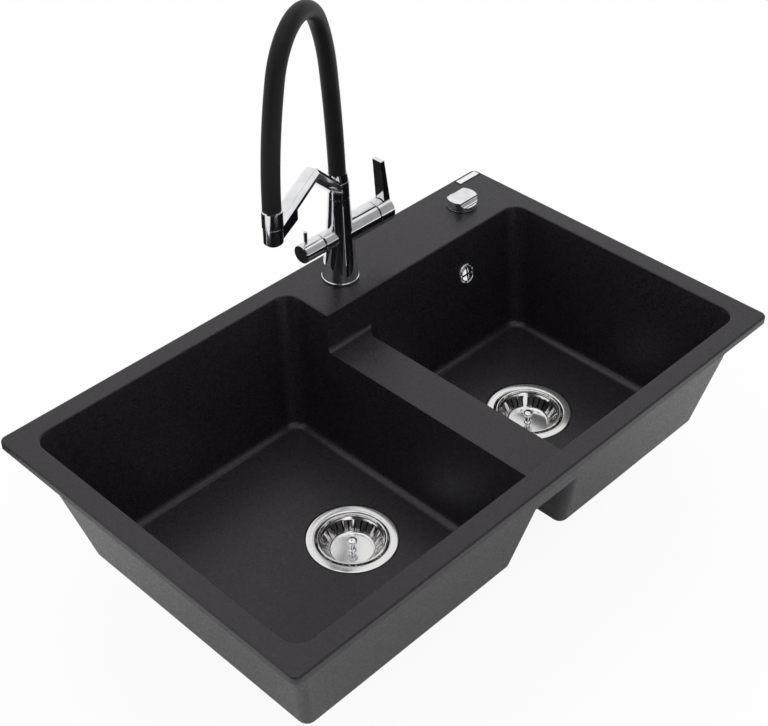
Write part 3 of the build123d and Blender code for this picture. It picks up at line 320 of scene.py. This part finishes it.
def make_finishes(look):
    """Every finish by the record's slot."""
    return {
        "granite_composite": granite_composite(look),
        "badge_metal": badge_metal(),
        "satin_steel": satin_steel(),
        "polished_chrome": polished_chrome(),
        "black_rubber": rubber(),
        "hose_silicone": hose_silicone(),
        "black_plastic": plastic("moulded_black_plastic", "#161617", "#222223"),
        "grey_plastic": plastic("moulded_grey_plastic", "#8a8d90", "#a5a8aa"),
        "valve_plastic": plastic("moulded_ivory_plastic", "#d2cfc3", "#e6e3d8"),
        "raw_brass": raw_brass(),
    }


# --- modelling helpers ---------------------------------------------------------------------------
def drawn(name, points):
    """Line of edges through points in mm, left open in edit mode with all of it selected."""
    bpy.ops.object.select_all(action="DESELECT")
    bpy.ops.mesh.primitive_plane_add(size=MM)
    piece = bpy.context.object
    piece.name = name
    bpy.ops.object.mode_set(mode="EDIT")
    bpy.ops.mesh.select_mode(type="VERT")
    bpy.ops.mesh.merge(type="CENTER")
    bpy.ops.transform.translate(value=Vector(points[0]) * MM)
    for here, there in zip(points, points[1:]):
        step = (Vector(there) - Vector(here)) * MM
        bpy.ops.mesh.extrude_vertices_move(TRANSFORM_OT_translate={"value": step})
    bpy.ops.mesh.select_all(action="SELECT")
    return piece


def close_up(piece, matrix):
    """Merge doubles, point the faces outwards and put the piece in its place."""
    bpy.ops.mesh.select_all(action="SELECT")
    bpy.ops.mesh.remove_doubles(threshold=0.01 * MM)
    bpy.ops.mesh.normals_make_consistent(inside=False)
    bpy.ops.object.mode_set(mode="OBJECT")
    piece.matrix_world = matrix
    bpy.ops.object.transform_apply(location=True, rotation=True, scale=True)
    return piece


def facing(place, axis):
    """Matrix that puts a piece at its place with its own z along an axis."""
    return Matrix.Translation(place) @ up.rotation_difference(axis).to_matrix().to_4x4()


def turned(name, profile, place, steps, axis=up):
    """Spun piece: a line through (radius, height) points in mm, turned round its place's axis."""
    piece = drawn(name, [(radius, 0, height) for radius, height in profile])
    bpy.ops.mesh.spin(steps=steps, angle=math.tau, center=(0, 0, 0), axis=(0, 0, 1))
    return close_up(piece, facing(place, axis))


def make_active(piece):
    """Leave edit mode and select this piece alone."""
    if bpy.context.object and bpy.context.object.mode != "OBJECT":
        bpy.ops.object.mode_set(mode="OBJECT")
    bpy.ops.object.select_all(action="DESELECT")
    bpy.context.view_layer.objects.active = piece
    piece.select_set(True)


def carve(piece, cutters):
    """Take cutters out of a piece and clear them away."""
    for cutter in cutters:
        apply_modifier(piece, "BOOLEAN", operation="DIFFERENCE", solver="EXACT", object=cutter)
        bpy.data.objects.remove(cutter)


def block(name, size, matrix):
    """Box of a size in mm, put in its place."""
    bpy.ops.object.select_all(action="DESELECT")
    bpy.ops.mesh.primitive_cube_add(size=MM)
    piece = bpy.context.object
    piece.name = name
    bpy.ops.object.mode_set(mode="EDIT")
    bpy.ops.mesh.select_mode(type="VERT")
    bpy.ops.mesh.select_all(action="SELECT")
    bpy.ops.transform.resize(value=size)
    return close_up(piece, matrix)


def slab(name, outline, across, thickness):
    """Plate with an outline of (reach, height) points in mm in the spout's plane."""
    points = [spout_out * reach + up * height - across * thickness / 2 for reach, height in outline]
    piece = drawn(name, points)
    bpy.ops.mesh.edge_face_add()
    bpy.ops.mesh.extrude_region_move(TRANSFORM_OT_translate={"value": across * thickness * MM})
    return close_up(piece, Matrix.Translation(tap_place))


def bar(name, start, end, chamfer):
    """The arm's bar between two points in metres, its long edges chamfered, run past both ends."""
    bpy.ops.object.select_all(action="DESELECT")
    bpy.ops.mesh.primitive_plane_add(size=MM)
    piece = bpy.context.object
    piece.name = name
    along = (end - start).normalized()
    bpy.ops.object.mode_set(mode="EDIT")
    bpy.ops.mesh.select_mode(type="VERT")
    bpy.ops.mesh.select_all(action="SELECT")
    bpy.ops.transform.resize(value=(arm_width, arm_thickness, 1))
    bpy.ops.mesh.bevel(offset=chamfer * MM, affect="VERTICES")
    length = (end - start).length + 2 * arm_past * MM
    bpy.ops.mesh.extrude_region_move(TRANSFORM_OT_translate={"value": (0, 0, length)})
    turn = Matrix((spout_side, along.cross(spout_side), along)).transposed().to_4x4()
    return close_up(piece, Matrix.Translation(start - along * arm_past * MM) @ turn)


def cut(piece, point, normal):
    """Cut off what lies past a plane."""
    pick(piece, "FACE", lambda middle, points: True)
    bpy.ops.mesh.bisect(plane_co=point, plane_no=normal, clear_outer=True)
    bpy.ops.object.mode_set(mode="OBJECT")


def joined(name, pieces):
    """Join pieces into one and weld their seams."""
    bpy.ops.object.select_all(action="DESELECT")
    for piece in pieces:
        piece.select_set(True)
    bpy.context.view_layer.objects.active = pieces[0]
    bpy.ops.object.join()
    pieces[0].name = name
    bpy.ops.object.mode_set(mode="EDIT")
    bpy.ops.mesh.select_all(action="SELECT")
    bpy.ops.mesh.remove_doubles(threshold=0.02 * MM)
    bpy.ops.object.mode_set(mode="OBJECT")
    return pieces[0]


def pick(piece, kind, test):
    """Select the faces or edges whose middle passes the test, and enter edit mode on them."""
    make_active(piece)
    bpy.ops.object.mode_set(mode="EDIT")
    bpy.ops.mesh.select_mode(type=kind)
    bpy.ops.mesh.select_all(action="DESELECT")
    bpy.ops.object.mode_set(mode="OBJECT")
    mesh = piece.data
    for item in (mesh.polygons if kind == "FACE" else mesh.edges):
        points = [mesh.vertices[i].co for i in item.vertices]
        item.select = test(sum(points, Vector()) / len(points), points)
    bpy.ops.object.mode_set(mode="EDIT")


def apply_modifier(piece, kind, **settings):
    """Add a modifier and apply it."""
    make_active(piece)
    modifier = piece.modifiers.new(kind.lower(), kind)
    for name, value in settings.items():
        setattr(modifier, name, value)
    bpy.ops.object.modifier_apply(modifier=modifier.name)


def finish_piece(piece, body, slot, *nodes, angle=30):
    """Smooth the piece, give it its finish, and say what it rides on and stands for."""
    make_active(piece)
    bpy.ops.object.shade_smooth_by_angle(angle=math.radians(angle))
    apply_modifier(piece, "WEIGHTED_NORMAL", keep_sharp=True, weight=90)
    piece.data.materials.clear()
    piece.data.materials.append(finishes[slot])
    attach(piece, body)
    if nodes:
        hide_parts(*nodes)


def soften(piece, look):
    """Round the basin's sharp edges a little, as its mould leaves them."""
    weld = piece.modifiers.new("weld", "WELD")
    weld.merge_threshold = 0.005 * MM
    bevel = piece.modifiers.new("moulded_edges", "BEVEL")
    bevel.width = look.moulded_edge
    bevel.segments = 3
    bevel.limit_method = "ANGLE"
    bevel.angle_limit = math.radians(38)
    bevel.harden_normals = True


def in_spout(reach, height, side=0.0):
    """Point in metres from its reach along the spout, height and side offset in mm."""
    return Vector(tap_place) + (spout_out * reach + spout_side * side + up * height) * MM


# Panels of the room as metal sees it: direction, cosines where it starts and is full, and tone.
# White paper stands all round; a dark curtain hangs behind the photographer, parted by two bright
# gaps, with a grey panel to its right and two dark ones beyond it.
studio_panels = (
    ((-0.70, -0.68, 0.22), 0.55, 0.8, 0.04),
    ((-0.38, -0.92, 0.0), 0.972, 0.985, 1.0),
    ((-0.33, -0.70, 0.63), 0.955, 0.975, 1.0),
    ((0.557, -0.754, 0.343), 0.80, 0.93, 0.36),
    ((0.772, 0.081, 0.630), 0.975, 0.988, 0.06),
    ((0.556, 0.012, 0.831), 0.986, 0.993, 0.06),
)


paper_tone = 0.95

# Studio: the floor's width, the black card and the small lamps, in metres, the card's size in mm.
floor_size = 12.0
floor_gap = 0.0005
card_size = (760, 4, 460)
card_place = (-0.40, 0.47, -0.23)
overhead_place = (0.1, 0.6, 1.9)
overhead_aim = (0.0, -0.05, 0.0)
overhead_size = (1.2, 0.9)
strip_place = (0.0775, 0.1175, 0.052)
strip_aim = (0.0798, 0.1774, 0.052)
strip_size = (0.003, 0.08)
glint_place = (0.345, 0.02, -0.085)
glint_size = (0.09, 0.07)
window_offset = Vector((-0.080, -0.155, 0.095))
window_size = (0.07, 0.1)
paper_lift = 0.92  # how far the floor is lifted to white where the camera sees it


# --- sizes and colours ---------------------------------------------------------------------------
class SinkLook(bpy.types.PropertyGroup):
    """Sizes and colours of the finishes."""

    grain_size: FloatProperty(
        name="Grain size", description="Quartz grain in the composite, drawn coarse enough to show",
        default=1.5 * MM, min=0.0001, unit="LENGTH")
    moulded_edge: FloatProperty(
        name="Moulded edge", description="Rounding that the mould leaves on the basin's edges",
        default=1.0 * MM, min=0, unit="LENGTH")
    basket_slots: IntProperty(
        name="Basket slots", description="Slots round each strainer basket", default=28, min=4)
    sheet: FloatProperty(
        name="Steel sheet", description="Thickness of the baskets' and cups' steel",
        default=0.9 * MM, min=0, unit="LENGTH")
    arm_chamfer: FloatProperty(
        name="Arm chamfer", description="Width cut off each corner of the spout arm",
        default=4.6 * MM, min=0, unit="LENGTH")


class StudioLook(bpy.types.PropertyGroup):
    """Camera and lights."""

    camera_place: FloatVectorProperty(
        name="Camera place", description="Where the photographer stood", subtype="XYZ",
        default=(-0.9934, -0.9409, 1.1343))
    camera_aim: FloatVectorProperty(
        name="Camera aim", description="Point on the worktop at the middle of the picture",
        subtype="XYZ", default=(0.00813, 0.03836, 0.0))
    focal_length: FloatProperty(
        name="Focal length", description="Lens for a 36 mm wide picture", default=70.45, min=1)
    key_power: FloatProperty(
        name="Overhead light", description="Power of the softbox above and behind the tap",
        default=1.0, subtype="POWER")
    glint_power: FloatProperty(
        name="Glint", description="Small lamp that shows up the overflow's petals",
        default=0.02, subtype="POWER")
    strip_power: FloatProperty(
        name="Strip", description="Narrow upright lamp that draws a line down the tap's body",
        default=0.0009, subtype="POWER")
    window_power: FloatProperty(
        name="Window", description="Small lamp in front of each basket that its wall mirrors",
        default=0.020, subtype="POWER")
    ambient: FloatProperty(
        name="Ambient", description="Even light from the room", default=1.0, min=0)


class SINK_OT_finishes(bpy.types.Operator):
    """Give every construction piece its real material"""

    bl_idname = "sink.finishes"
    bl_label = "Finishes"

    def execute(self, context):
        finishes.update(make_finishes(context.scene.sink_look))
        for row in frame["record"]["subparts"]:
            piece = frame["nodes"][row["node"]]
            piece.data.materials.clear()
            piece.data.materials.append(finishes[row["material_slot"]])
            if row["node"] == "sink_basin":
                soften(piece, context.scene.sink_look)
        return {"FINISHED"}


class SINK_OT_flanges(bpy.types.Operator):
    """Spin the strainers' polished flanges with their sunk cups"""

    bl_idname = "sink.flanges"
    bl_label = "Strainer flanges"

    def execute(self, context):
        for side, place in drains.items():
            cup = turned(side + "_pressed_flange", cup_profile, place, 144)
            finish_piece(cup, "fixed", "satin_steel", side + "_strainer_cup", angle=40)
        return {"FINISHED"}


class SINK_OT_baskets(bpy.types.Operator):
    """Press the strainer baskets and cut their slots"""

    bl_idname = "sink.baskets"
    bl_label = "Strainer baskets"

    def execute(self, context):
        look = context.scene.sink_look
        for side, place in drains.items():
            columns = columns_per_slot * look.basket_slots
            basket = turned(side + "_pressed_basket", basket_profile, place, columns)
            high = place[2] - slot_top * MM
            low = place[2] - slot_bottom * MM

            def columns_round(middle):
                turn = math.atan2(middle.y - place[1], middle.x - place[0]) % math.tau
                return turn / (math.tau / columns)

            def in_slot(middle, points):
                column = int(columns_round(middle)) % columns_per_slot
                return low < middle.z < high and column == 0

            pick(basket, "FACE", in_slot)
            bpy.ops.mesh.delete(type="FACE")

            def between_columns(middle, points):
                along = (points[0] - points[1]).normalized()
                reach = math.hypot(middle.x - place[0], middle.y - place[1])
                if not (low < middle.z < high and abs(along.z) > 0.3 and reach > 0.02):
                    return False
                return round(columns_round(middle)) % columns_per_slot in (2, 3)

            pick(basket, "EDGE", between_columns)
            bpy.ops.mesh.dissolve_edges(use_verts=False)
            apply_modifier(basket, "SOLIDIFY", thickness=look.sheet, offset=-1)
            finish_piece(basket, baskets[side], "satin_steel", side + "_basket", angle=24)
            pick(basket, "FACE", lambda middle, points: low < middle.z < high and len(points) > 4)
            bpy.ops.mesh.faces_shade_flat()
            bpy.ops.object.mode_set(mode="OBJECT")
            knob = turned(side + "_turned_knob", knob_profile, place, 48)
            finish_piece(knob, baskets[side], "polished_chrome", side + "_basket_knob", angle=40)
        return {"FINISHED"}


class SINK_OT_spout_arm(bpy.types.Operator):
    """Fold the cast spout arm with its chamfered long edges"""

    bl_idname = "sink.spout_arm"
    bl_label = "Spout arm"

    def execute(self, context):
        chamfer = context.scene.sink_look.arm_chamfer / MM
        root, fold, end = (in_spout(*point) for point in arm_line)
        rise = bar("spout_arm_rise", root, fold, chamfer)
        fall = bar("spout_arm_fall", fold, end, chamfer)
        mitre = ((fold - root).normalized() + (end - fold).normalized()).normalized()
        cut(rise, fold, mitre)
        cut(rise, root, (root - fold).normalized())
        cut(fall, fold, -mitre)
        cut(fall, end, (end - fold).normalized())
        legs = joined("spout_arm_bar", [rise, fall])
        pick(legs, "EDGE", lambda middle, points: abs((middle - fold).dot(mitre)) < 0.1 * MM)
        bpy.ops.mesh.bevel(offset=fold_round * MM, segments=4, affect="EDGES")
        bpy.ops.object.mode_set(mode="OBJECT")
        gusset = slab("spout_arm_gusset", gusset_outline, spout_side, gusset_width)
        holder = turned("spout_arm_holder", holder_profile, in_spout(arm_line[-1][0], 0), 64)
        collar = turned("spout_arm_collar", collar_profile, tap_place, 64)
        stem = turned("spout_arm_stem", stem_profile, tap_place, 48)
        arm = joined("cast_spout_arm", [legs, gusset, holder, collar, stem])
        apply_modifier(arm, "BEVEL", width=0.5 * MM, segments=2, limit_method="ANGLE",
                       angle_limit=math.radians(28))
        finish_piece(arm, "spout", "polished_chrome", "spout_arm", angle=25)
        return {"FINISHED"}


class SINK_OT_popup_knob(bpy.types.Operator):
    """Turn the pop-up knob and scoop out its grip"""

    bl_idname = "sink.popup_knob"
    bl_label = "Pop-up knob"

    def execute(self, context):
        knob = turned("scooped_popup_knob", popup_knob_profile, popup_place, 128)
        coves = []
        for side in (-1, 1):
            bpy.ops.object.select_all(action="DESELECT")
            bpy.ops.mesh.primitive_cylinder_add(
                vertices=96, radius=cove_radius * MM, depth=60 * MM, rotation=(0, math.pi / 2, 0),
                location=Vector(popup_place)
                + Vector((0, side * (grip_half_width + cove_radius), grip_top)) * MM)
            coves.append(context.object)
        carve(knob, coves)
        apply_modifier(knob, "BEVEL", width=0.35 * MM, segments=2, limit_method="ANGLE",
                       angle_limit=math.radians(50))
        finish_piece(knob, "popup_turner", "polished_chrome", "popup_knob", angle=30)
        return {"FINISHED"}


class SINK_OT_rosette(bpy.types.Operator):
    """Press the overflow's rosette: ring, barrel and four crowned petals"""

    bl_idname = "sink.rosette"
    bl_label = "Overflow rosette"

    def execute(self, context):
        ring = turned("overflow_ring", ring_profile, overflow_place, 72, overflow_out)
        petals = turned("overflow_petals", petal_profile, overflow_place, 72, overflow_out)
        place = facing(overflow_place, overflow_out)
        carve(petals, [block("slot", size, place) for size in petal_gaps])
        apply_modifier(petals, "BEVEL", width=0.45 * MM, segments=3, limit_method="ANGLE",
                       angle_limit=math.radians(50))
        barrel = turned("overflow_barrel", barrel_profile, overflow_place, 48, overflow_out)
        rosette = joined("pressed_rosette", [ring, petals, barrel])
        finish_piece(rosette, "fixed", "polished_chrome", "overflow_rosette", angle=35)
        return {"FINISHED"}


class SINK_OT_badge(bpy.types.Operator):
    """Lay the bare label plate on a black sheet, wider than it, whose edge paints the shadow gap
    round the plate
    """

    bl_idname = "sink.badge"
    bl_label = "Label plate"

    def execute(self, context):
        length, width, thickness = badge_size
        place = Vector(badge_place)
        # Painted shadow: a black sheet wider than the plate shows as a dark outline round it.
        shadow_gap_size = (length + shadow_gap_margin, width + shadow_gap_margin, shadow_gap_thickness)
        shadow_gap_sheet = block("label_shadow_gap_sheet", shadow_gap_size, Matrix.Translation(place + up * shadow_gap_thickness / 2 * MM))
        apply_modifier(shadow_gap_sheet, "BEVEL", width=0.12 * MM, segments=2)
        finish_piece(shadow_gap_sheet, "fixed", "black_rubber")
        middle_place = Matrix.Translation(place + up * thickness / 2 * MM)
        plate = block("label_plate", badge_size, middle_place)
        pick(plate, "FACE", lambda middle, points: middle.z > place.z + 0.6 * thickness * MM)
        bpy.ops.mesh.inset(thickness=badge_rim * MM)
        bpy.ops.mesh.inset(thickness=badge_step * MM, depth=-badge_step * MM)
        apply_modifier(plate, "BEVEL", width=0.08 * MM, segments=2, limit_method="ANGLE")
        finish_piece(plate, "fixed", "badge_metal", "badge_plate")
        return {"FINISHED"}


class SINK_OT_studio(bpy.types.Operator):
    """Build the floor, backdrop, lamps and camera"""

    bl_idname = "sink.studio"
    bl_label = "Studio"

    def execute(self, context):
        look = context.scene.studio_look
        scene = context.scene
        bpy.ops.object.select_all(action="DESELECT")
        bpy.ops.mesh.primitive_plane_add(size=floor_size, location=(0, 0, cad_low.z - floor_gap))
        floor = context.object
        floor.name = "floor"
        floor.data.materials.append(paper_material())

        camera = bpy.data.objects.new("camera", bpy.data.cameras.new("camera"))
        scene.collection.objects.link(camera)
        camera.location = look.camera_place
        aim = Vector(look.camera_aim) - Vector(look.camera_place)
        camera.rotation_euler = aim.to_track_quat("-Z", "Y").to_euler()
        camera.data.lens = look.focal_length
        camera.data.sensor_width = 36
        camera.data.clip_end = 50
        scene.camera = camera

        card = block("black_card", card_size, Matrix.Translation(card_place))
        card.visible_camera = card.visible_diffuse = card.visible_shadow = False
        card.visible_transmission = False
        card.data.materials.append(velvet_material())

        lamp("overhead", overhead_place, overhead_aim, overhead_size, look.key_power)
        lamp("strip", strip_place, strip_aim, strip_size, look.strip_power,
             only=[frame["nodes"]["tap_body"]])
        lamp("glint", glint_place, overflow_place, glint_size, look.glint_power,
             only=[bpy.data.objects["pressed_rosette"]])
        for side, place in drains.items():
            place = Vector(place)
            lamp(side + "_window", place + window_offset, place, window_size, look.window_power,
                 only=[bpy.data.objects[side + "_pressed_basket"]])
        paint_world(scene, look)
        scene.view_settings.view_transform = "Standard"
        return {"FINISHED"}


def lamp(name, place, aim, size, power, only=()):
    """Softbox that only lights, on all or on a few pieces, and isn't seen by the camera."""
    light = bpy.data.lights.new(name, "AREA")
    light.shape = "RECTANGLE"
    light.size, light.size_y = size
    light.energy = power
    holder = bpy.data.objects.new(name, light)
    holder.location = place
    holder.rotation_euler = (Vector(aim) - Vector(place)).to_track_quat("-Z", "Y").to_euler()
    holder.visible_camera = False
    bpy.context.scene.collection.objects.link(holder)
    if only:
        lit = bpy.data.collections.new(name + "_lights")
        for piece in only:
            lit.objects.link(piece)
        holder.light_linking.receiver_collection = lit


def paper_material():
    """Seamless white paper that keeps a shadow: seen straight on it is lifted to white."""
    material, shader = new_material("white_paper")
    point = object_point(material)
    fibre = noise(material, point, 2 * MM, 4.0)
    join(material, two_tones(material, fibre, "#f6f6f6", "#fbfbfb"), shader.inputs["Base Color"])
    shader.inputs["Roughness"].default_value = 0.95
    glow = add_node(material, "ShaderNodeEmission", {"Strength": 1.0})
    path = add_node(material, "ShaderNodeLightPath")
    mix = add_node(material, "ShaderNodeMixShader")
    share = add_node(material, "ShaderNodeMath", {"operation": "MULTIPLY", 1: paper_lift},
                     {0: path.outputs["Is Camera Ray"]})
    join(material, share.outputs["Value"], mix.inputs["Fac"])
    join(material, shader.outputs["BSDF"], mix.inputs[1])
    join(material, glow.outputs["Emission"], mix.inputs[2])
    output = next(n for n in material.node_tree.nodes if n.type == "OUTPUT_MATERIAL")
    join(material, mix.outputs["Shader"], output.inputs["Surface"])
    return material


def velvet_material():
    """Black flocked card: drinks light, with a little lint."""
    material, shader = new_material("black_flocked_card")
    lint = noise(material, object_point(material), 3 * MM, 3.0)
    join(material, two_tones(material, lint, "#0a0a0a", "#1c1c1d"), shader.inputs["Base Color"])
    shader.inputs["Roughness"].default_value = 1.0
    return material


def toward(world, direction, axis, low, high):
    """0 to 1 as a direction turns towards an axis, between two cosines."""
    dot = add_node(world, "ShaderNodeVectorMath", {"operation": "DOT_PRODUCT", 1: axis},
                   {0: direction})
    return add_node(world, "ShaderNodeMapRange",
                    {"interpolation_type": "SMOOTHSTEP", "From Min": low, "From Max": high},
                    {"Value": dot.outputs["Value"]}).outputs["Result"]


def paint_world(scene, look):
    """Room of white paper and dark cloth that metal mirrors, with an even dim light on the rest."""
    world = bpy.data.worlds.new("studio")
    scene.world = world
    world.use_nodes = True
    world.node_tree.nodes.clear()
    direction = add_node(world, "ShaderNodeTexCoord").outputs["Generated"]
    level = None
    for axis, low, high, tone in studio_panels:
        mask = toward(world, direction, axis, low, high)
        mix = add_node(world, "ShaderNodeMix", {"data_type": "FLOAT", 2: paper_tone, 3: tone},
                       {0: mask})
        if level is not None:
            join(world, level, mix.inputs[2])
        level = mix.outputs[0]
    path = add_node(world, "ShaderNodeLightPath")
    mirrored = add_node(world, "ShaderNodeMath", {"operation": "MAXIMUM"},
                        {0: path.outputs["Is Glossy Ray"], 1: path.outputs["Is Transmission Ray"]})
    seen = add_node(world, "ShaderNodeMix", {"data_type": "FLOAT", 2: look.ambient},
                    {0: mirrored.outputs["Value"], 3: level})
    shown = add_node(world, "ShaderNodeMix", {"data_type": "FLOAT", 3: 1.0},
                     {0: path.outputs["Is Camera Ray"], 2: seen.outputs[0]})
    light = add_node(world, "ShaderNodeBackground", {"Color": (1, 1, 1, 1)},
                     {"Strength": shown.outputs[0]})
    add_node(world, "ShaderNodeOutputWorld", links={"Surface": light.outputs["Background"]})


class SINK_PT_parts(bpy.types.Panel):
    """Lists the sink's operators and sizes"""

    bl_label = "Double bowl sink"
    bl_idname = "SINK_PT_parts"
    bl_space_type = "VIEW_3D"
    bl_region_type = "UI"
    bl_category = "Sink"

    def draw(self, context):
        for operator in operators:
            self.layout.operator(operator.bl_idname)
        for group in (context.scene.sink_look, context.scene.studio_look):
            box = self.layout.box()
            for name in group.__annotations__:
                box.prop(group, name)


groups = (SinkLook, StudioLook)
operators = (SINK_OT_finishes, SINK_OT_flanges, SINK_OT_baskets, SINK_OT_spout_arm,
             SINK_OT_popup_knob, SINK_OT_rosette, SINK_OT_badge, SINK_OT_studio)


def register():
    """Register the classes and hang the property groups on the scene."""
    for cls in (*groups, *operators, SINK_PT_parts):
        bpy.utils.register_class(cls)
    bpy.types.Scene.sink_look = PointerProperty(type=SinkLook)
    bpy.types.Scene.studio_look = PointerProperty(type=StudioLook)


def unregister():
    """Take everything off again."""
    del bpy.types.Scene.studio_look
    del bpy.types.Scene.sink_look
    for cls in reversed((*groups, *operators, SINK_PT_parts)):
        bpy.utils.unregister_class(cls)


def main():
    """Dress the sink."""
    register()
    bpy.ops.sink.finishes()
    bpy.ops.sink.flanges()
    bpy.ops.sink.baskets()
    bpy.ops.sink.spout_arm()
    bpy.ops.sink.popup_knob()
    bpy.ops.sink.rosette()
    bpy.ops.sink.badge()
    bpy.ops.sink.studio()


if __name__ == "__main__":
    main()
